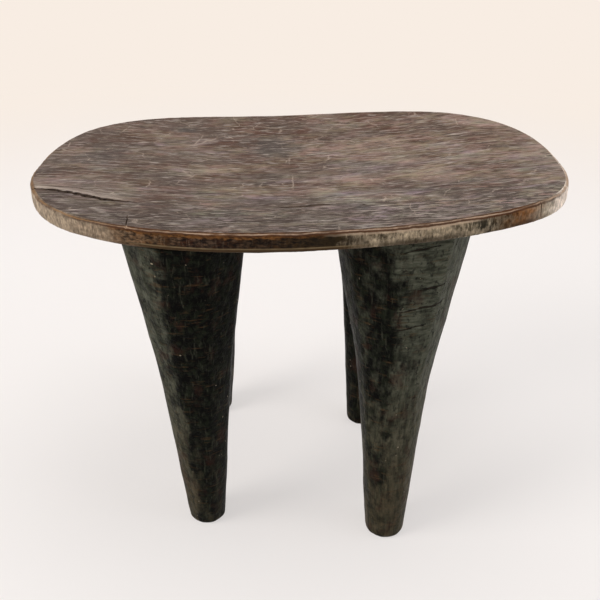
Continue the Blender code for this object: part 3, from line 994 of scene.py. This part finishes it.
rim_wood, add = new_finish("rasped_end_grain_rim")
place = add("TexCoord", output="Object")
rim = {name: streaks(add, place, *row) for name, row in RIM_PATTERNS.items()}
along_rim = add("SeparateXYZ", place, output="X")
along_rim = add("MapRange", along_rim, -half_length, half_length)
along_rim = add("Math ADD", along_rim, rim["ragged"])
along_rim = add("Math SUBTRACT", along_rim, RAGGED_HALF)
colour = add("ValToRGB", along_rim, stops=RIM_ZONES_AND_LIGHT)
reach = {part: add("ValToRGB", along_rim, stops=stops) for part, stops in RIM_REACH.items()}
print(len(RIM_ZONES_AND_LIGHT), "zones along the rim,", len(reach), "kinds of mark")

# %% [markdown]
# ## Bands and lines on the rim
# Under the arris runs a dark line, partly stain and partly painted shade beneath the worn edge, with a
# second pale line below it on the right and a brown band on the left. The lower edge is rolled and tan, and
# darker towards the bottom in two places. How far down each reaches comes from the values kept on the
# points. Ticks and band come first, then fibres and mottling, then the lines.

# %% Rim: layers and surface
LOW_LINE = 0.79
LOW_LINE_EDGE = (0.05, 0.015)
BAND_DEPTH = (0, 1, 2.4, 5)
BAND_EDGE = (0.6, -0.4, 0, 0.92)
FIBRE_SHADE = (0, 1, 0.20, 1.80)
MOTTLE_SHADE = (0, 1, 0.72, 1.28)
# Each row: the mark, the ramp that says how strong it is along the rim, its colour.
RIM_UNDER = [("ticks", "rasp", "#241B11"), ("opened", "rasp", "#B0A088"), ("band", "band", "#523519")]
# The dark line under the arris is painted partly as stain and partly as shade.
RIM_OVER = [("second", "second", "#B19B84"), ("stain_and_shade_line", "stain_and_shade_line", "#4A2A14"),
            ("darker_low", "darker_low", "#241B11"), ("rolled", "low", "#40301D"), ("low_line", "low", "#6C5C44")]
# Each row: the value it follows, where on it the mark starts and where it is full.
# The rim is painted darker towards its bottom between these two heights.
RIM_EDGES = {"second": ("past", 4.2, 3.4), "stain_and_shade_line": ("past", 2.5, 1.9),
             "darker_low": ("down", 0.60, 0.80), "rolled": ("down", 0.78, 0.84)}

past = wavering_past(add, place)
down = add("Attribute", output="Fac", attribute_name="drop")
follows = {"past": past, "down": down}
for name, (value, start, full) in RIM_EDGES.items():
    rim[name] = add("MapRange", follows[value], start, full)
rim["opened"] = add("Math MAXIMUM", rim["pale_ticks"], rim["rasped"])
lower = add("MapRange", rim["patchy"], *BAND_DEPTH)
band = add("Math SUBTRACT", past, lower)
rim["band"] = add("MapRange", band, *BAND_EDGE)
for name, part, paint in RIM_UNDER:
    rim[name] = add("Math MULTIPLY", rim[name], reach[part])
    colour = add("Mix RGBA", rim[name], colour, paint)
fibres = add("Mix FLOAT", reach["band"], rim["upright"], rim["level"])
fibres = add("MapRange", fibres, *FIBRE_SHADE)
mottled = add("MapRange", rim["mottled"], *MOTTLE_SHADE)
for shading in (fibres, mottled):
    colour = add("Mix RGBA", 1.0, colour, shading, blend_type="MULTIPLY")
rim["low_line"] = add("Math MULTIPLY", line_at(add, down, LOW_LINE, LOW_LINE_EDGE), mottled)
for name, part, paint in RIM_OVER:
    rim[name] = add("Math MULTIPLY", rim[name], reach[part], use_clamp=True)
    colour = add("Mix RGBA", rim[name], colour, paint)
colour = arris_wear(add, place, past, colour)
height = add("Math SUBTRACT", rim["opened"], rim["ticks"])
wood_surface(add, colour, (rim["patchy"], 0.70, 0.56), height, relief=0.35, specular=0.10)
print("made", rim_wood.name)

# %% [markdown]
# ## Adzed underside and split wood
# The underside was left straight from the adze and never handled, so it is duller and a dusty brown.
# Inside a crack the wood is old, dark and quite matt. Both are one streak pattern between a dark and a
# light colour, so one function makes them.

# %% Underside and crack walls
def rough_wood(name, streak, dark, light, rough, relief, specular):
    finish, add = new_finish(name)
    tone = streaks(add, grain_place(add)[1], *streak)
    colour = add("Mix RGBA", tone, dark, light)
    wood_surface(add, colour, (tone, *rough), tone, relief, specular)
    return finish


UNDER_STREAK = ((45, 3.5, 8), 4, 0.30, 0.70, 1, 0)
SPLIT_FIBRE = ((8, 1.5, 1.5), 3, 0.35, 0.65, 1, 0)
under_wood = rough_wood("adzed_dusty_underside", UNDER_STREAK, "#3B2E24", "#6A5645",
                        rough=(0.80, 0.66), relief=0.3, specular=0.30)
crack_wood = rough_wood("split_dark_heartwood", SPLIT_FIBRE, "#2C231D", "#54463D",
                        rough=(0.92, 0.80), relief=0.2, specular=0.20)
print("made", under_wood.name, "and", crack_wood.name)

# %% [markdown]
# ## Smoke-dark patina: the legs
# The legs carry a hard, dark skin of smoke, oil and handling over the same wood. It is green-black with a
# dull satin shine, speckled where it is thin, red-brown where it has worn through, and dusty olive near the
# floor.
# On the outward flats the pale olive is partly dust and partly painted light where the side lamps fall, and
# the front right leg is painted paler for the same reason. The log's grain runs along the seat, so it
# crosses the legs as level streaks in the dust and painted light, and upright scrapes from the finishing
# blade cross it.

# %% Legs
PATINA_BLACK, PATINA_GREEN = "#050504", "#1A1E15"
# The pale colour is partly dust and partly painted light on the outward flats that the side lamps fall on.
DUST_DARK, PALE_DUST_AND_LIGHT, DUST_EARTH = "#22251C", "#5F6154", "#574E3D"
NEAR_FLOOR = (0.22, 0.06)
SCRAPED_LOW = (0.27, 0.20, 0, 0.85)
SIDEWAYS = (0.45, 0.75)
DUST_AND_LIGHT_EDGE = (0.55, 1.40, 0, 0.9)
PIT_SHADE = (0, 1, 0.65, 0.30)
# Each row as for the top. The real pits, scrapes and fibres are 1 mm wide or less, and are drawn 2 to 4 mm
# wide, as coarse as they need to be to show.
LEG_PATTERNS = {
    "speckle": ((5, 5, 7), 4, 0.40, 0.70, 1, 0),
    "clinging": ((12, 12, 20), 7, 0.25, 0.75, 0.90, 15),
    "level": ((16, 6, 3), 5, 0.24, 0.74, 1, 47),
    "upright": ((3.2, 3.2, 17), 5, 0.24, 0.74, 1, 77),
    "worn": ((19, 19, 24), 6, 0.53, 0.68, 0.50, 9),
    "scrape": ((2.6, 2.6, 30), 3, 0.55, 0.72, 0.40, 61),
    "chatter": ((15, 15, 2.4), 4, 0.57, 0.70, 0.45, 19),
    "pits": ((3.6, 3.6, 5), 4, 0.54, 0.66, 1, 53),
    "knocks": ((4, 4, 4), 1, 0.77, 0.80, 0.80, 27),
}

leg_wood, add = new_finish("smoke_patina_hardwood")
place = add("TexCoord", output="Object")
skin = {name: streaks(add, place, *row) for name, row in LEG_PATTERNS.items()}
colour = add("Mix RGBA", skin["speckle"], PATINA_BLACK, PATINA_GREEN)
# Dust and painted light from the mesh value: outward flats and the front right leg are painted paler.
dust_and_light_mask = add("Attribute", output="Fac", attribute_name="dust_and_light")
dust_and_light_mask = add("Math ADD", dust_and_light_mask, skin["clinging"])
dust_and_light_mask = add("MapRange SMOOTHSTEP", dust_and_light_mask, *DUST_AND_LIGHT_EDGE)
upward = add("SeparateXYZ", place, output="Z")
near_floor = add("MapRange", upward, *NEAR_FLOOR)
pale = add("Mix RGBA", near_floor, PALE_DUST_AND_LIGHT, DUST_EARTH)
sideways = add("SeparateXYZ", add("NewGeometry", output="Normal"), output="X")
sideways = line_at(add, sideways, 0.0, SIDEWAYS)
lower = add("MapRange", upward, *SCRAPED_LOW)
scraped = add("Math MAXIMUM", sideways, lower)
fibrous = add("Mix FLOAT", scraped, skin["level"], skin["upright"])
dust_and_light = add("Mix RGBA", fibrous, DUST_DARK, pale)
pitted = add("MapRange", near_floor, *PIT_SHADE)
pits = add("Math MULTIPLY", skin["pits"], pitted)
for mask, paint in ((dust_and_light_mask, dust_and_light), (skin["worn"], "#342019"), (skin["scrape"], "#484A3E"),
                    (skin["chatter"], "#4E3B26"), (pits, PATINA_BLACK), (skin["knocks"], "#9A8F7C")):
    colour = add("Mix RGBA", mask, colour, paint)
height = add("Math ADD", skin["speckle"], skin["clinging"])
height = add("Math SUBTRACT", height, pits)
wood_surface(add, colour, (skin["speckle"], 0.40, 0.55), height, relief=0.40, specular=0.03)
print("made", leg_wood.name)

# %% [markdown]
# ## Putting the pieces together
# With the materials made, the blades go through the seat and one leg, the finishes are assigned, and each
# piece is hung from the body that carries it while the solid that it stands for is hidden.

# %% Cut, dress and ride
MORTISE_ROOM = 0.3 * MM
PEG_LENGTH = 60.0 * MM

for material in (top_wood, rim_wood, under_wood):
    seat.data.materials.append(material)
for leg in legs.values():
    leg.data.materials.append(leg_wood)

cut(seat, [blade(seat, *check) for check in SEAT_CHECKS], crack_wood)
mortises = [peg(head, tenon + MORTISE_ROOM, peak - PEG_LENGTH, peak + MORTISE_ROOM)
            for head, tenon, peak in joints]
cut(seat, mortises, under_wood)
split_leg = legs["leg_front_right"]
cut(split_leg, [blade(split_leg, *check) for check in LEG_CHECKS], crack_wood)

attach(seat, "root")
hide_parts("seat")
for name, leg in legs.items():
    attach(leg, "root")
    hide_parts(name)
print("pieces:", seat.name, *(leg.name for leg in legs.values()))

# %% [markdown]
# ## Floor
# The stool stands on a pale sheet of matt paper that rolls up into a cream backdrop, so there is no hard
# corner. To look white under plain light, the floor shows part of its own colour to the rays that see the
# background, and the rest still takes the stool's shadow.

# %% Studio floor
FLOOR_COLOUR = "#F2EEEC"
BACKDROP_COLOUR = "#F8EDE3"
SWEEP_BACK = 1.75
SWEEP_RADIUS = 0.35
SWEEP_HALF_WIDTH = 4.0
SWEEP_FRONT = -3.0
SWEEP_TOP = 2.6
SWEEP_STEPS = 12
FLOOR_CLEAR = 0.7
FLOOR_GLOW = 0.62
PAPER_ROUGHNESS = 0.4

line = [(SWEEP_FRONT, 0.0)]
for step in range(SWEEP_STEPS + 1):
    bend = math.pi / 2.0 * step / SWEEP_STEPS
    line.append((SWEEP_BACK + SWEEP_RADIUS * math.sin(bend), SWEEP_RADIUS * (1.0 - math.cos(bend))))
line.append((SWEEP_BACK + SWEEP_RADIUS, SWEEP_TOP))
sweep_points = np.array([(side * SWEEP_HALF_WIDTH, y, z) for y, z in line for side in (-1, 1)])
sweep_faces = [(2 * i, 2 * i + 1, 2 * i + 3, 2 * i + 2) for i in range(len(line) - 1)]
floor = put("floor", mesh_from("floor", sweep_points, sweep_faces))


def seen_rays(add):
    rays = add("LightPath").node.outputs
    seen = add("Math ADD", rays["Is Camera Ray"], rays["Is Glossy Ray"])
    return add("Math ADD", seen, rays["Is Transmission Ray"], use_clamp=True)


paper, add = new_finish("matt_studio_paper")
place = add("TexCoord", output="Object")
away = add("VectorMath LENGTH", place, output="Value")
far = add("MapRange SMOOTHSTEP", away, FLOOR_CLEAR, SWEEP_BACK)
tint = add("Mix RGBA", far, FLOOR_COLOUR, BACKDROP_COLOUR)
matt = add("BsdfDiffuse", links={"Color": tint, "Roughness": PAPER_ROUGHNESS})
glow = add("Emission", links={"Color": tint, "Strength": 1.0})
share = add("MapRange", far, 0.0, 1.0, FLOOR_GLOW, 1.0)
share = add("Math MULTIPLY", share, seen_rays(add))
both = add("MixShader", share, matt, glow)
add("OutputMaterial", links={"Surface": both})
floor.data.materials.append(paper)
print("floor of", paper.name, "with", len(sweep_faces), "faces")

# %% [markdown]
# ## Light
# A large soft lamp at the front left gives the light its direction, one overhead and a weaker one on the
# right fill in, and a pale sky does the rest. Together they are set so that a colour renders about as it is
# written.

# %% Lamps and sky
SKY_COLOUR = "#FDFCFB"
SKY_LEVEL = 0.45
# Each row: name, place, aim and size in metres, power in watts, colour.
LAMPS = [
    ("key", (-1.9, -0.8, 1.6), (0, 0, 0.25), 1.3, 34, "#FFFBF6"),
    ("overhead", (0.2, 0.2, 2.2), (0, 0, 0), 1.6, 20, "#FFFFFF"),
    ("fill", (1.9, -0.5, 1.1), (0, 0, 0.25), 1.4, 10, "#F6F8FF"),
]

for name, stand, aim, size, power, colour in LAMPS:
    light = bpy.data.lights.new(name, "AREA")
    light.shape = "DISK"
    light.size = size
    light.energy = power
    light.color = linear(colour)[:3]
    lamp = put(name, light)
    lamp.location = stand
    lamp.rotation_euler = (Vector(aim) - Vector(stand)).to_track_quat("-Z", "Y").to_euler()
world = bpy.data.worlds.new("sky")
world.use_nodes = True
sky = world.node_tree.nodes["Background"]
add = partial(add_node, world.node_tree)
seen = seen_rays(add)
shown = add("MapRange", seen, 0.0, 1.0, SKY_LEVEL, 1.0)
tint = add("Mix RGBA", seen, SKY_COLOUR, BACKDROP_COLOUR)
world.node_tree.links.new(tint, sky.inputs["Color"])
world.node_tree.links.new(shown, sky.inputs["Strength"])
bpy.context.scene.world = world
bpy.context.scene.view_settings.view_transform = "Standard"
print(len(LAMPS), "lamps and a sky")
